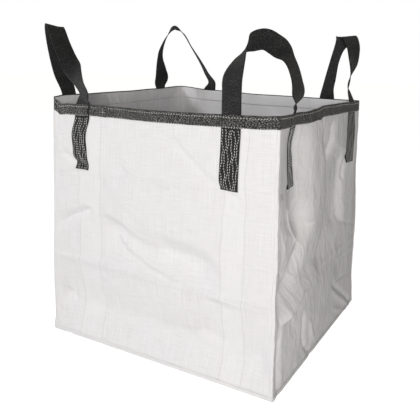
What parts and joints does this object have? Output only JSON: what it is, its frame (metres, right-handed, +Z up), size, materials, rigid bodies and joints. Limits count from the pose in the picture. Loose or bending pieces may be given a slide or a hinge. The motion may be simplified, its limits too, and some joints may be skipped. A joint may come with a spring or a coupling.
{
  "type": "bulk bag",
  "caption": "Open-topped square sack of white woven fabric with a dark webbing tape around its mouth and a swinging webbing lifting loop across each corner.",
  "frame": {"origin": "middle of the base, on the floor", "axes": "+Z up, +X to the right, +Y to the back; the front wall is the one with the lapped ends of the mouth tape"},
  "size_m": [0.9224, 0.9113, 1.167],
  "materials": {
    "fabric": "white woven polypropylene, coated, slightly glossy",
    "seam_fabric": "the same fabric folded and sewn",
    "webbing": "black woven polypropylene webbing with a few grey yarns",
    "thread": "white polyester sewing thread"
  },
  "bodies": {
    "sack": {"base_panel": "fabric", "front_panel": "fabric", "right_panel": "fabric", "back_panel": "fabric", "left_panel": "fabric", "front_base_seam": "seam_fabric", "right_base_seam": "seam_fabric", "back_base_seam": "seam_fabric", "left_base_seam": "seam_fabric", "front_left_corner_seam": "seam_fabric", "front_right_corner_seam": "seam_fabric", "back_right_corner_seam": "seam_fabric", "back_left_corner_seam": "seam_fabric", "corner_seam_threads": "thread", "base_seam_threads": "thread", "mouth_tape": "webbing", "mouth_tape_upper_stitches": "thread", "mouth_tape_lower_stitches": "thread", "mouth_tape_lap_stitches": "thread", "front_left_loop_bends": "webbing", "front_right_loop_bends": "webbing", "back_right_loop_bends": "webbing", "back_left_loop_bends": "webbing", "front_left_loop_legs": "webbing", "front_right_loop_legs": "webbing", "back_right_loop_legs": "webbing", "back_left_loop_legs": "webbing", "front_left_leg_stitches": "thread", "front_right_leg_stitches": "thread", "back_right_leg_stitches": "thread", "back_left_leg_stitches": "thread"},
    "front_left_lifting_loop": {"front_left_loop": "webbing"},
    "front_right_lifting_loop": {"front_right_loop": "webbing"},
    "back_right_lifting_loop": {"back_right_loop": "webbing"},
    "back_left_lifting_loop": {"back_left_loop": "webbing"}
  },
  "joints": [
    {"name": "front_left_loop_swing", "type": "hinge", "parent": "sack", "child": "front_left_lifting_loop", "pos_m": [-0.38055, -0.38055, 0.91704], "axis": [0.8504, -0.5261, 0], "range_deg": [-125, 86], "stiffness_Nm_per_rad": 0.5, "deforming": ["front_left_loop_bends"]},
    {"name": "front_right_loop_swing", "type": "hinge", "parent": "sack", "child": "front_right_lifting_loop", "pos_m": [0.36655, -0.35655, 0.91704], "axis": [0.7765, 0.6301, 0], "range_deg": [-98, 110], "stiffness_Nm_per_rad": 0.5, "deforming": ["front_right_loop_bends"]},
    {"name": "back_right_loop_swing", "type": "hinge", "parent": "sack", "child": "back_right_lifting_loop", "pos_m": [0.37405, 0.35605, 0.91704], "axis": [-0.7422, 0.6701, 0], "range_deg": [-114, 100], "stiffness_Nm_per_rad": 0.5, "deforming": ["back_right_loop_bends"]},
    {"name": "back_left_loop_swing", "type": "hinge", "parent": "sack", "child": "back_left_lifting_loop", "pos_m": [-0.36305, 0.33805, 0.91704], "axis": [-0.7071, -0.7071, 0], "range_deg": [-110, 105], "stiffness_Nm_per_rad": 0.5, "deforming": ["back_left_loop_bends"]}
  ]
}
